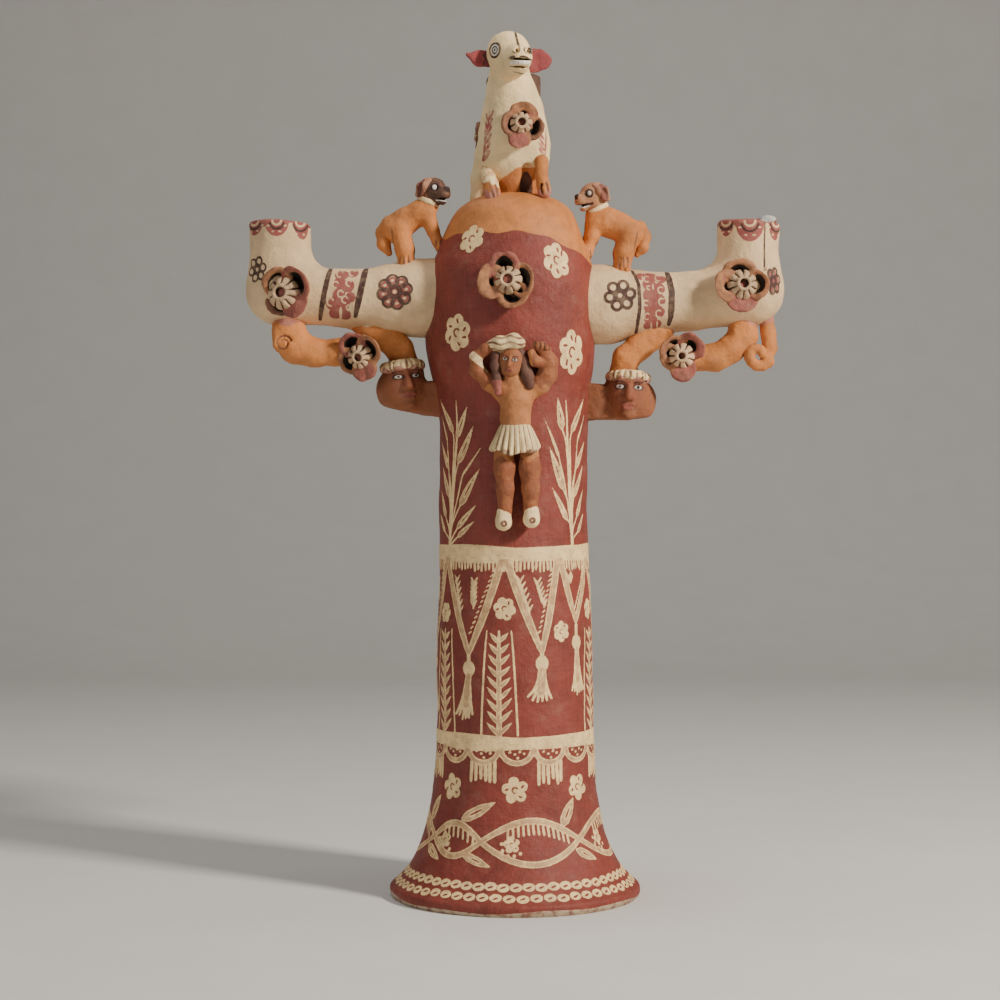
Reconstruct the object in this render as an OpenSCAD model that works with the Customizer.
// Hand-built earthenware tree of life: a hollow candle holder with luted-on figures.
// Origin: centre of the foot rim, on the surface it stands on. +Z up, the dancer faces -Y.

/* [Column] */
// Outer radius of the foot rim
foot_r = 87.5; // [75:0.5:110]
// Height of the flat-sided foot rim
rim_h = 8; // [4:0.5:14]
// Height over which the foot flares out to the rim
flare_h = 85; // [60:1:120]
// Outer radius of the column where it leaves the foot
column_r = 55; // [44:0.5:66]
// Outer radius of the column at its neck
neck_r = 51; // [40:0.5:64]
// Height of the neck above the ground
neck_z = 325; // [240:1:420]
// Height of the sloping part between neck and shoulder
slope_h = 55; // [30:1:80]
// Outer radius of the shoulder
shoulder_r = 59; // [48:0.5:74]
// Height of the straight shoulder
shoulder_h = 52; // [48:1:80]
// Height of the dome's cone
dome_cone_h = 43; // [25:1:60]
// Outer radius of the dome's cone at its top
dome_top_r = 41; // [30:0.5:46]
// Height of the dome's rounded top
dome_cap_h = 15; // [8:0.5:24]
// Thickness of the column's wall
wall = 8; // [5:0.5:11]
// Radius of the vent pierced from the shoulder into each arm
vent_r = 4; // [2.5:0.5:6]

/* [Arms] */
// Distance from the column's axis to each cup's axis
cup_x = 164; // [140:1:200]
// Height of the arm's axis below the top of the shoulder
arm_drop = 18; // [14:1:28]
// Outer radius of the arm where it meets the shoulder
arm_root_r = 26; // [22:0.5:30]
// Outer radius of the arm where it meets the cup
arm_tip_r = 20.5; // [17:0.5:21.5]
// Thickness of the arm's wall
arm_wall = 7; // [5:0.5:9]
// Outer radius of a cup and of its elbow
cup_r = 22; // [21.5:0.5:27]
// Height of the cup's rim above the arm's axis
cup_rise = 55; // [44:1:70]
// Radius of the candle socket
socket_r = 12; // [9:0.5:14]
// Depth of the candle socket
socket_depth = 32; // [20:1:38]

/* [Top animal] */
// Radius of the seated body
animal_r = 25; // [20:0.5:28]
// Height of the body from the dome's top to the neck
animal_h = 68; // [50:1:80]
// Radius of the neck
animal_neck_r = 15; // [11:0.5:18]
// Length of the neck up to the middle of the head
animal_neck_h = 28; // [20:1:40]
// Radius of the head
animal_head_r = 16.5; // [13:0.5:20]
// Outer radius of the cup on the animal's back
back_cup_r = 19.5; // [17:0.5:22]

/* [Dogs] */
// Radius of a dog's body
dog_r = 9.5; // [7:0.5:11]
// Length of a dog's body
dog_len = 32; // [24:1:38]
// Height of a dog's back legs
dog_leg_h = 28; // [22:1:36]
// Radius of a dog's head
dog_head_r = 9.5; // [7:0.5:12]

/* [Dancer] */
// Height of the dancer from boots to cap
dancer_h = 130; // [100:1:145]
// Height of the soles of the dancer's boots above the ground
dancer_z = 257; // [180:1:300]

/* [Flowers] */
// Reach of the petals on the cups
cup_flower_r = 20; // [14:0.5:24]
// Reach of the petals on the brackets
bracket_flower_r = 16.5; // [12:0.5:20]
// Reach of the petals on the column
column_flower_r = 20; // [14:0.5:24]
// Reach of the petals on the top animal
animal_flower_r = 15; // [11:0.5:18]

/* [Brackets] */
// Drop of the brackets' lower end below the arm's axis
bracket_drop = 60; // [48:1:80]
// Radius of the brackets' strap
strap_r = 10.5; // [8:0.5:13]
// Radius of the serpents' roll
serpent_r = 9; // [6:0.5:11]
// Radius of the mask heads
mask_r = 18; // [12:0.5:20]

/* [Hidden] */
$fn = 64;
clay_fn = 16;
shoulder_z = neck_z + slope_h;
dome_z = shoulder_z + shoulder_h;
dome_cap_z = dome_z + dome_cone_h;
crown_z = dome_cap_z + dome_cap_h;
arm_z = dome_z - arm_drop;
rim_z = arm_z + cup_rise;
sides = [["left", -1], ["right", 1]];
lute = 3;
clay_brown = "saddlebrown";
clay_ochre = "peru";
slip_red = "firebrick";
slip_cream = "antiquewhite";

// ---- column outline --------------------------------------------------------

flare_steps = 10;
cap_steps = 8;
// Share of the quarter ellipse that the flare runs through, short of its vertical end
flare_sweep = 0.98;
// How far the hollow's outline sinks below the outer one, as a share of the rim's height
hollow_sink = 0.6;

// Outer radius of the foot's flare at height z: a quarter ellipse, hollow side out
function flare_r(z) =
    let (t = (flare_h - z) / (flare_h - rim_h))
    column_r + (foot_r - column_r) * (1 - sqrt(1 - t * t * flare_sweep));

// Outline of the flare from the rim up, thinned by inset
function flare_points(inset) = [
    for (i = [0 : flare_steps])
        let (z = rim_h + (flare_h - rim_h) * i / flare_steps)
        [flare_r(z) - inset, z]
];

// Outline of the dome's rounded top
function cap_points(r, z0, h) = [
    for (i = [1 : cap_steps - 1])
        let (a = 90 * i / cap_steps)
        [r * cos(a), z0 + h * sin(a)]
];

// Outer radius of the column between the foot and the dome
function column_at(z) =
    z < neck_z ? column_r + (neck_r - column_r) * (z - flare_h) / (neck_z - flare_h) :
    z < shoulder_z ? neck_r + (shoulder_r - neck_r) * (z - neck_z) / slope_h :
    shoulder_r;

// Everything that the column and the dome fill above the foot's flare, as one solid outline
module column_solid() {
    rotate_extrude()
        polygon(concat(
            [[0, flare_h], [column_r, flare_h], [neck_r, neck_z], [shoulder_r, shoulder_z],
                [shoulder_r, dome_z], [dome_top_r, dome_cap_z]],
            cap_points(dome_top_r, dome_cap_z, dome_cap_h),
            [[0, crown_z]]
        ));
}

module foot_bell() {
    color(slip_red)
        rotate_extrude()
            polygon(concat(
                [[foot_r - wall, 0], [foot_r, 0]],
                flare_points(0),
                [[column_r - wall, flare_h]],
                [for (i = [flare_steps - 1 : -1 : 0]) flare_points(wall)[i] - [0, rim_h * hollow_sink]]
            ));
}

module column_tube() {
    color(slip_red)
        rotate_extrude()
            polygon([
                [column_r - wall, flare_h], [column_r, flare_h],
                [neck_r, neck_z], [neck_r - wall, neck_z]
            ]);
}

module shoulder_body() {
    color(slip_red)
        difference() {
            rotate_extrude()
                polygon([
                    [neck_r - wall, neck_z], [neck_r, neck_z], [shoulder_r, shoulder_z],
                    [shoulder_r, dome_z], [shoulder_r - wall, dome_z], [shoulder_r - wall, shoulder_z]
                ]);
            translate([0, 0, arm_z])
                rotate([0, 90, 0])
                    cylinder(h = 2 * shoulder_r + 2, r = vent_r, center = true);
        }
}

module dome_cap() {
    color(clay_ochre)
        rotate_extrude()
            polygon(concat(
                [[shoulder_r - wall, dome_z], [shoulder_r, dome_z], [dome_top_r, dome_cap_z]],
                cap_points(dome_top_r, dome_cap_z, dome_cap_h),
                [[0, crown_z], [0, crown_z - wall]],
                [for (i = [cap_steps - 1 : -1 : 1])
                    cap_points(dome_top_r - wall, dome_cap_z - wall / 2, dome_cap_h - wall / 2)[i - 1]],
                [[dome_top_r - wall, dome_cap_z - wall / 2]]
            ));
}

// ---- helpers ---------------------------------------------------------------

// Turns +Z to the line from p to q and moves the origin to p
module along(p, q) {
    d = q - p;
    translate(p)
        rotate([0, acos(d[2] / norm(d)), atan2(d[1], d[0])])
            children();
}

// A round-ended roll of clay from p to q
module roll(p, q, r1, r2) {
    hull() {
        translate(p) sphere(r1, $fn = clay_fn);
        translate(q) sphere(r2, $fn = clay_fn);
    }
}

// ---- arms and cups ---------------------------------------------------------

// Outline of an arm as one solid, from the column's axis to the cup's axis
module arm_solid(side) {
    root = shoulder_r - wall;
    translate([side * root, 0, arm_z])
        rotate([0, side * 90, 0])
            cylinder(h = cup_x - root, r1 = arm_root_r, r2 = arm_tip_r);
}

// Outline of a cup and its elbow as one solid
module cup_solid(side) {
    translate([side * cup_x, 0, arm_z]) {
        cylinder(h = cup_rise, r = cup_r);
        sphere(cup_r);
    }
}

module arm_tube(side) {
    root = shoulder_r - wall;
    color(slip_cream)
        difference() {
            arm_solid(side);
            translate([side * root, 0, arm_z])
                rotate([0, side * 90, 0])
                    cylinder(h = cup_x - root, r1 = arm_root_r - arm_wall, r2 = arm_tip_r - arm_wall);
            cup_solid(side);
            column_solid();
        }
}

module candle_cup(side) {
    color(slip_cream)
        difference() {
            cup_solid(side);
            translate([side * cup_x, 0, rim_z - socket_depth])
                cylinder(h = socket_depth + 1, r = socket_r);
        }
}

// ---- top animal ------------------------------------------------------------

animal_top_z = crown_z + animal_h;
animal_head_z = animal_top_z + animal_neck_h;
seat_z = crown_z - dome_cap_h;
back_cup_z = animal_top_z + 20;
back_cup_y = animal_r * 0.6 + back_cup_r;
animal_head_y = -10;
// Height at which the body starts to narrow to the neck
animal_waist_z = crown_z + animal_h * 0.5;
// Offset of the muzzle's tip from the middle of the head
muzzle_tip = [4, -animal_head_r, -6];
muzzle_root_r = animal_head_r * 0.7;
muzzle_tip_r = animal_head_r * 0.5;
// Places of an ear's root and tip beside the middle of the head
ear_root = [animal_head_r * 0.7, animal_head_y, animal_head_z + 1];
ear_tip = [animal_head_r * 1.55, animal_head_y, animal_head_z - 1];
ear_root_r = 5;
ear_tip_r = 3.5;
// Places of a leg's hip and paw at the front right
animal_hip = [animal_r * 0.7, animal_r * 0.75, crown_z + animal_h * 0.3];
animal_paw = [animal_r * 0.75, animal_r * 0.95, crown_z - dome_cap_h * 0.4];
animal_leg_r = 6;

// A point mirrored to the side sx and the end sy
function placed(p, sx, sy) = [sx * p[0], sy * p[1], p[2]];

module animal_body_solid() {
    translate([0, 0, seat_z])
        cylinder(h = animal_waist_z - seat_z, r = animal_r);
    translate([0, 0, animal_waist_z])
        cylinder(h = animal_top_z - animal_waist_z, r1 = animal_r, r2 = animal_neck_r);
    translate([0, 0, animal_top_z])
        cylinder(h = animal_neck_h, r = animal_neck_r);
}

module animal_head_solid() {
    middle = [0, animal_head_y, animal_head_z];
    translate(middle)
        sphere(animal_head_r, $fn = 2 * clay_fn);
    roll(middle, middle + muzzle_tip, muzzle_root_r, muzzle_tip_r);
}

module back_cup_solid() {
    translate([0, back_cup_y, back_cup_z - socket_depth - wall]) {
        cylinder(h = socket_depth + wall, r = back_cup_r);
        sphere(back_cup_r);
    }
}

module top_animal_body() {
    color(slip_cream)
        difference() {
            animal_body_solid();
            column_solid();
            animal_head_solid();
        }
}

module top_animal_head() {
    color(slip_cream)
        animal_head_solid();
}

module top_animal_ears() {
    color("indianred")
        difference() {
            for (s = [-1, 1])
                roll(placed(ear_root, s, 1), placed(ear_tip, s, 1), ear_root_r, ear_tip_r);
            animal_head_solid();
        }
}

module top_animal_legs() {
    color(clay_ochre)
        difference() {
            for (s = [-1, 1], f = [-1, 1])
                roll(placed(animal_hip, s, f), placed(animal_paw, s, f), animal_leg_r, animal_leg_r);
            animal_body_solid();
            back_cup_solid();
            column_solid();
        }
}

module rear_candle_cup() {
    color(clay_brown)
        difference() {
            back_cup_solid();
            translate([0, back_cup_y, back_cup_z - socket_depth])
                cylinder(h = socket_depth + 1, r = socket_r);
            animal_body_solid();
            animal_head_solid();
        }
}

// ---- flowers ---------------------------------------------------------------

// Radius of the button and of the stem, as shares of the petals' reach
disc_share = 0.42;
stem_share = 0.5;
// Height of the button's side, and shares of it at the edge and the middle of its domed top
disc_h = 6;
disc_edge_share = 1.3;
disc_crown_share = 1.4;
disc_top_share = 0.6;
// Gap between petals and thickness of a petal
petal_gap = 3;
petal_t = 3;
// Height of the petals' tips, and where their walls bend, as shares of their reach
petal_rise = 0.7;
bend_share = 0.95;
bend_low = 0.4;
bend_high = 0.5;
// Size of the flower behind the animal against the one on its chest
back_flower_share = 0.8;
// Sideways turn of the flowers on the cups
cup_flower_turn = 0.15;

// Button in the middle of a flower that faces +Z
module flower_disc_shape(r) {
    disc_r = r * disc_share;
    rotate_extrude()
        polygon([
            [0, petal_t], [disc_r, petal_t], [disc_r, petal_t + disc_h],
            [disc_r * disc_top_share, petal_t + disc_h * disc_edge_share],
            [0, petal_t + disc_h * disc_crown_share]
        ]);
}

// Four cupped petals around the button, with a stem that is luted to the clay behind
module flower_petal_shape(r, stem) {
    rise = r * petal_rise;
    bend_r = r * bend_share;
    stem_r = r * stem_share;
    difference() {
        rotate_extrude()
            polygon([
                [0, -stem], [stem_r, -stem], [stem_r, 0], [bend_r, rise * bend_low], [r, rise],
                [r - petal_t, rise], [bend_r - petal_t, rise * bend_high], [stem_r, petal_t], [0, petal_t]
            ]);
        for (a = [0, 90])
            rotate(a)
                translate([-r - 1, -petal_gap / 2, petal_t])
                    cube([2 * r + 2, petal_gap, rise]);
    }
}

// Places a flower whose back is at p, facing the direction d
module flower_at(p, d) {
    along(p, p + d)
        rotate(45)
            children();
}

column_flower_z = arm_z + 4;
column_flower_at = [-3, -shoulder_r, column_flower_z];
cup_flower_lift = 5;
bracket_flower_x = (shoulder_r + cup_x) / 2;
bracket_flower_z = arm_z - arm_root_r - bracket_flower_r;
animal_flower_z = crown_z + animal_h * 0.6;
chest_flower_at = [4, -animal_r, animal_flower_z];
back_flower_at = [-animal_r * 0.85, animal_r * 0.4, animal_flower_z];
back_flower_facing = [-1, 0.5, 0];

module column_flower_petals() {
    color(clay_brown)
        difference() {
            flower_at(column_flower_at, [0, -1, 0]) flower_petal_shape(column_flower_r, lute);
            column_solid();
        }
}

module column_flower_disc() {
    color(slip_cream)
        difference() {
            flower_at(column_flower_at, [0, -1, 0]) flower_disc_shape(column_flower_r);
            column_solid();
        }
}

module chest_flower_petals() {
    color(clay_brown)
        difference() {
            flower_at(chest_flower_at, [0, -1, 0]) flower_petal_shape(animal_flower_r, animal_r / 2);
            animal_body_solid();
        }
}

module chest_flower_disc() {
    color(slip_cream)
        difference() {
            flower_at(chest_flower_at, [0, -1, 0]) flower_disc_shape(animal_flower_r);
            animal_body_solid();
        }
}

module back_flower_petals() {
    color(clay_brown)
        difference() {
            flower_at(back_flower_at, back_flower_facing)
                flower_petal_shape(animal_flower_r * back_flower_share, lute);
            animal_body_solid();
            back_cup_solid();
        }
}

module back_flower_disc() {
    color(slip_cream)
        difference() {
            flower_at(back_flower_at, back_flower_facing)
                flower_disc_shape(animal_flower_r * back_flower_share);
            animal_body_solid();
            back_cup_solid();
        }
}

function cup_flower_at(side) = [side * (cup_x - cup_r / 2), -cup_r, arm_z + side * cup_flower_lift];

module arm_flower_petals(side) {
    color(clay_brown)
        difference() {
            flower_at(cup_flower_at(side), [side * cup_flower_turn, -1, 0])
                flower_petal_shape(cup_flower_r, cup_r / 2);
            cup_solid(side);
            arm_solid(side);
        }
}

module arm_flower_disc(side) {
    color(slip_cream)
        difference() {
            flower_at(cup_flower_at(side), [side * cup_flower_turn, -1, 0])
                flower_disc_shape(cup_flower_r);
            cup_solid(side);
            arm_solid(side);
        }
}

// ---- brackets --------------------------------------------------------------

bracket_z = arm_z - bracket_drop;
mask_x = column_at(bracket_z) + mask_r * 1.15;
strap_y = 0;
// Radii of the strap where it leaves the column and where it turns out, and its foot's drop
strap_root_r = strap_r * 1.5;
strap_turn_r = strap_r * 1.3;
strap_foot_drop = 4;
// Sideways run of the strap's upper end and its height inside the arm
strap_top_run = 2;
strap_top_z = arm_z - arm_root_r * 0.6;
// Height of the serpent's head inside the cup's elbow
serpent_head_z = arm_z - cup_r + 2;
// Half height of a mask head's block and its narrower lower end
mask_half_h = mask_r * 0.15;
mask_jaw_r = mask_r * 0.9;
mask_cap_z = bracket_z + mask_r * 0.5;
mask_cap_h = mask_r * 0.6;
mask_cap_r = mask_r * 0.95;

module strap_solid(side) {
    roll([side * (column_at(bracket_z) - wall / 2), strap_y, bracket_z - strap_foot_drop],
        [side * mask_x, strap_y, bracket_z], strap_root_r, strap_turn_r);
    roll([side * mask_x, strap_y, bracket_z],
        [side * bracket_flower_x, strap_y, bracket_flower_z], strap_turn_r, strap_r);
    roll([side * bracket_flower_x, strap_y, bracket_flower_z],
        [side * (bracket_flower_x + strap_top_run), strap_y, strap_top_z], strap_r, strap_r);
}

module serpent_solid(side) {
    end = [side * cup_x, strap_y, arm_z - cup_r - serpent_r];
    roll([side * bracket_flower_x, strap_y, bracket_flower_z], end, serpent_r, serpent_r);
    roll(end, [side * cup_x, strap_y, serpent_head_z], serpent_r, serpent_r);
}

module mask_solid(side) {
    roll([side * mask_x, strap_y - strap_r, bracket_z - mask_half_h],
        [side * mask_x, strap_y - strap_r, bracket_z + mask_half_h], mask_jaw_r, mask_r);
}

module bracket_strap(side) {
    color(clay_ochre)
        difference() {
            strap_solid(side);
            column_solid();
            arm_solid(side);
        }
}

module serpent(side) {
    color(clay_ochre)
        difference() {
            serpent_solid(side);
            strap_solid(side);
            cup_solid(side);
            arm_solid(side);
        }
}

module mask_head(side) {
    color(clay_brown)
        difference() {
            mask_solid(side);
            strap_solid(side);
            column_solid();
        }
}

module mask_cap(side) {
    color(slip_cream)
        difference() {
            translate([side * mask_x, strap_y - strap_r, mask_cap_z])
                cylinder(h = mask_cap_h, r = mask_cap_r);
            mask_solid(side);
            strap_solid(side);
            column_solid();
            arm_solid(side);
        }
}

module bracket_flower_petals(side) {
    at = [side * bracket_flower_x, strap_y - strap_r, bracket_flower_z];
    color(clay_brown)
        difference() {
            flower_at(at, [0, -1, 0]) flower_petal_shape(bracket_flower_r, strap_r);
            strap_solid(side);
            serpent_solid(side);
            arm_solid(side);
        }
}

module bracket_flower_disc(side) {
    at = [side * bracket_flower_x, strap_y - strap_r, bracket_flower_z];
    color(slip_cream)
        difference() {
            flower_at(at, [0, -1, 0]) flower_disc_shape(bracket_flower_r);
            strap_solid(side);
            serpent_solid(side);
        }
}

// ---- dogs ------------------------------------------------------------------

dog_top_z = arm_z + arm_root_r + dog_leg_h;
dog_chest_x = shoulder_r;
dog_rump_x = dog_chest_x + dog_len - dog_r;
// Lift of the chest and drop of the rump from the back's height
dog_chest_lift = 2;
dog_rump_drop = 4;
// How far the nape is set in from the chest, and the length of the neck above the chest
dog_nape_in = 3;
dog_neck_h = 6;
dog_neck_root_r = dog_r * 0.75;
dog_neck_top_r = dog_r * 0.6;
dog_leg_r = dog_r * 0.45;
// Half width between the legs at the body and at the paws
dog_hip_y = dog_r * 0.5;
dog_paw_y = dog_r * 0.6;
// How far the front paws stand in from the chest and the back paws from the rump
dog_front_in = 6;
dog_back_in = 2;
// Depth of the back paws in the arm's clay
dog_paw_sink = 4;
// Muzzle: rise of the skull, reach and rise of the tip, radius of the tip
dog_skull_rise = dog_head_r * 0.5;
dog_muzzle = [dog_head_r * 0.9, 0, dog_head_r * 0.2];
dog_muzzle_r = dog_head_r * 0.5;
// Ears: offsets from the nape of the root and of the tip, and their radii
dog_ear_root = [1, dog_head_r * 0.8, dog_head_r];
dog_ear_tip = [4, dog_head_r, -dog_head_r * 0.2];
dog_ear_root_r = 3;
dog_ear_tip_r = 2.5;
// Collar: how far up the neck it sits, its width and its radius
collar_share = 0.55;
collar_h = 5;
collar_r = dog_r * 0.95;
// Tail: offsets from the rump of the root and of the tip, and their radii
tail_root = [dog_r * 0.7, 0, 0];
tail_tip = [dog_r * 1.1, 0, -dog_r * 1.7];
tail_root_r = 3.5;
tail_tip_r = 2.5;

function dog_chest(side) = [side * dog_chest_x, 0, dog_top_z + dog_chest_lift];
function dog_rump(side) = [side * dog_rump_x, 0, dog_top_z - dog_rump_drop];
function dog_nape(side) = dog_chest(side) + [-side * dog_nape_in, 0, dog_r + dog_neck_h];

module dog_body_solid(side) {
    roll(dog_chest(side), dog_rump(side), dog_r, dog_r);
    roll(dog_chest(side), dog_nape(side), dog_neck_root_r, dog_neck_top_r);
    for (f = [-1, 1]) {
        roll(dog_chest(side) + [0, f * dog_hip_y, 0],
            [side * (dog_chest_x - dog_front_in), f * dog_paw_y, dog_z_on_dome()], dog_leg_r, dog_leg_r);
        roll(dog_rump(side) + [0, f * dog_hip_y, 0],
            [side * (dog_rump_x - dog_back_in), f * dog_paw_y, arm_z + arm_root_r - dog_paw_sink],
            dog_leg_r, dog_leg_r);
    }
}

// Height at which a dog's front paws stand on the dome's slope
function dog_z_on_dome() = dome_z + (dog_front_in / (shoulder_r - dome_top_r)) * dome_cone_h;

module dog_head_solid(side) {
    roll(dog_nape(side) + [0, 0, dog_skull_rise], dog_nape(side) + placed(dog_muzzle, -side, 1),
        dog_head_r, dog_muzzle_r);
}

module dog_body(side) {
    color(clay_ochre)
        difference() {
            dog_body_solid(side);
            dog_head_solid(side);
            column_solid();
            arm_solid(side);
        }
}

module dog_head(side) {
    color(clay_brown)
        dog_head_solid(side);
}

module dog_ears(side) {
    color("maroon")
        difference() {
            for (f = [-1, 1])
                roll(dog_nape(side) + placed(dog_ear_root, side, f),
                    dog_nape(side) + placed(dog_ear_tip, side, f), dog_ear_root_r, dog_ear_tip_r);
            dog_head_solid(side);
            dog_body_solid(side);
        }
}

module dog_collar(side) {
    chest = dog_chest(side);
    nape = dog_nape(side);
    mid = chest * (1 - collar_share) + nape * collar_share;
    color(slip_cream)
        difference() {
            along(mid, nape)
                cylinder(h = collar_h, r = collar_r);
            dog_body_solid(side);
            dog_head_solid(side);
        }
}

module dog_tail(side) {
    rump = dog_rump(side);
    color(clay_ochre)
        difference() {
            roll(rump + placed(tail_root, side, 1), rump + placed(tail_tip, side, 1),
                tail_root_r, tail_tip_r);
            dog_body_solid(side);
        }
}

// ---- dancer ----------------------------------------------------------------

// One hundredth of the dancer's height, the unit of the dancer's own sizes
unit = dancer_h / 100;

// Places on the dancer as [across, out of the wall, up], and radii, all in units
chest = [0, 3, 72];
chest_r = 9.5;
hips = [0, 3, 56];
hips_r = 8;
face = [-2, 8, 84.5];
face_r = 7.5;
thigh = [7, 3, 42];
thigh_r = 5;
ankle = [7, 3, 6];
ankle_r = 3.8;
hem = [0, 1.5, 36.5];
hem_r = 14;
skirt_h = 17;
waist_r = 9;
cap_left = [-8, 7, 92.5];
cap_right = [4, 7, 92.5];
cap_r = 4.5;
braid_top = [8, 7, 87];
braid_in = 1;
braid_top_r = 2.6;
braid_end = [8, 7, 68];
braid_end_r = 2;
shoulder = [7, 3, 73];
shoulder_joint_r = 4.2;
elbow = [19, 4, 83];
elbow_r = 3.5;
hand = [13, 5, 92];
hand_r = 4;
boot_heel = [7, 3.5, 6];
boot_heel_r = 4.2;
boot_toe = [7, 4.5, 4];
boot_toe_r = 4;

// The point in space of a place on the dancer, mirrored to the side s
function body_at(place, s = 1) =
    let (x = s * place[0] * unit, z = dancer_z + place[2] * unit)
    [x, -sqrt(pow(column_at(z), 2) - pow(x, 2)) - place[1] * unit, z];

module torso_solid() {
    roll(body_at(chest), body_at(hips), chest_r * unit, hips_r * unit);
}

module head_solid() {
    translate(body_at(face))
        sphere(face_r * unit);
}

module legs_solid() {
    for (s = [-1, 1])
        roll(body_at(thigh, s), body_at(ankle, s), thigh_r * unit, ankle_r * unit);
}

module skirt_solid() {
    translate(body_at(hem))
        cylinder(h = skirt_h * unit, r1 = hem_r * unit, r2 = waist_r * unit);
}

module cap_solid() {
    roll(body_at(cap_left), body_at(cap_right), cap_r * unit, cap_r * unit);
}

module braids_solid() {
    for (s = [-1, 1])
        roll(body_at(braid_top - [s * braid_in, 0, 0], s), body_at(braid_end, s),
            braid_top_r * unit, braid_end_r * unit);
}

module figure_torso() {
    color(clay_ochre)
        difference() {
            torso_solid();
            skirt_solid();
            head_solid();
            column_solid();
        }
}

module figure_head() {
    color(clay_brown)
        difference() {
            head_solid();
            column_solid();
        }
}

module figure_cap() {
    color(slip_cream)
        difference() {
            cap_solid();
            head_solid();
            column_solid();
        }
}

module figure_braids() {
    color("#3a2018")
        difference() {
            braids_solid();
            head_solid();
            cap_solid();
            torso_solid();
            column_solid();
        }
}

module arm_shape(side) {
    roll(body_at(shoulder, side), body_at(elbow, side), shoulder_joint_r * unit, elbow_r * unit);
    roll(body_at(elbow, side), body_at(hand, side), elbow_r * unit, hand_r * unit);
}

module figure_arm(side) {
    color(clay_ochre)
        difference() {
            arm_shape(side);
            torso_solid();
            head_solid();
            cap_solid();
            column_solid();
            braids_solid();
        }
}

module figure_skirt() {
    color(slip_cream)
        difference() {
            skirt_solid();
            column_solid();
        }
}

module figure_legs() {
    color(clay_ochre)
        difference() {
            legs_solid();
            skirt_solid();
            column_solid();
        }
}

module figure_boots() {
    color(slip_cream)
        difference() {
            for (s = [-1, 1])
                roll(body_at(boot_heel, s), body_at(boot_toe, s), boot_heel_r * unit, boot_toe_r * unit);
            legs_solid();
            column_solid();
        }
}

// ---- nodes -----------------------------------------------------------------

foot_bell();
column_tube();
shoulder_body();
dome_cap();
rear_candle_cup();
top_animal_body();
top_animal_head();
top_animal_ears();
top_animal_legs();
chest_flower_petals();
chest_flower_disc();
back_flower_petals();
back_flower_disc();
column_flower_petals();
column_flower_disc();
figure_torso();
figure_head();
figure_cap();
figure_braids();
figure_arm(-1);  // figure_left_arm
figure_arm(1);  // figure_right_arm
figure_skirt();
figure_legs();
figure_boots();

for (s = sides) {
    arm_tube(s[1]);
    candle_cup(s[1]);
    arm_flower_petals(s[1]);
    arm_flower_disc(s[1]);
    bracket_strap(s[1]);
    bracket_flower_petals(s[1]);
    bracket_flower_disc(s[1]);
    serpent(s[1]);
    mask_head(s[1]);
    mask_cap(s[1]);
    dog_body(s[1]);
    dog_head(s[1]);
    dog_ears(s[1]);
    dog_collar(s[1]);
    dog_tail(s[1]);
}
